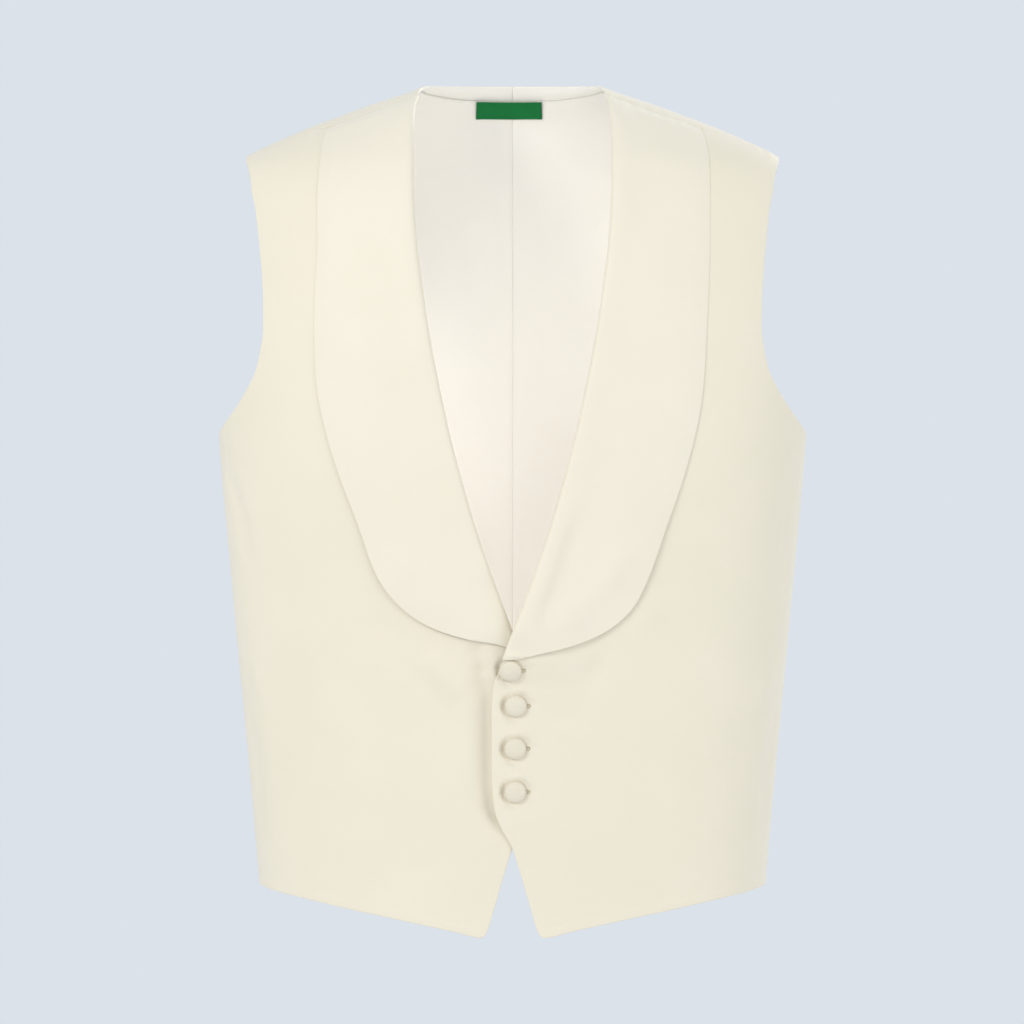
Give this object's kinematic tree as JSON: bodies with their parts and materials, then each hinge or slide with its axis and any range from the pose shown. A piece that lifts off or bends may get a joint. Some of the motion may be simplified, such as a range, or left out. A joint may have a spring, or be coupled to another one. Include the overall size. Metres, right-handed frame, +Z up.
{
  "type": "shawl collar evening waistcoat",
  "caption": "Cream silk evening waistcoat with a rolled shawl collar and covered buttons, buttoned left over right, filled out as worn and open at neck, armholes and hem.",
  "frame": {"origin": "midway between the two side neck points, where the shoulders of the wearer hold the garment", "axes": "+Z up, the fronts face -Y, +X towards the wearer's left"},
  "size_m": [0.4136, 0.234, 0.597],
  "materials": {
    "silk": "cream silk, fine plain weave with a soft sheen",
    "lapel_silk": "cream silk over canvas, softly rolled",
    "lining": "off-white lining silk, smooth",
    "button_silk": "silk stretched over a button form",
    "label": "plain woven green tape"
  },
  "bodies": {
    "root": {"front_right": "silk", "front_left": "silk", "back_right": "silk", "back_left": "silk", "back_lining_right": "lining", "back_lining_left": "lining", "lapel_right": "lapel_silk", "lapel_left": "lapel_silk", "neck_label": "label", "button_1": "button_silk", "button_2": "button_silk", "button_3": "button_silk", "button_4": "button_silk"}
  },
  "joints": []
}
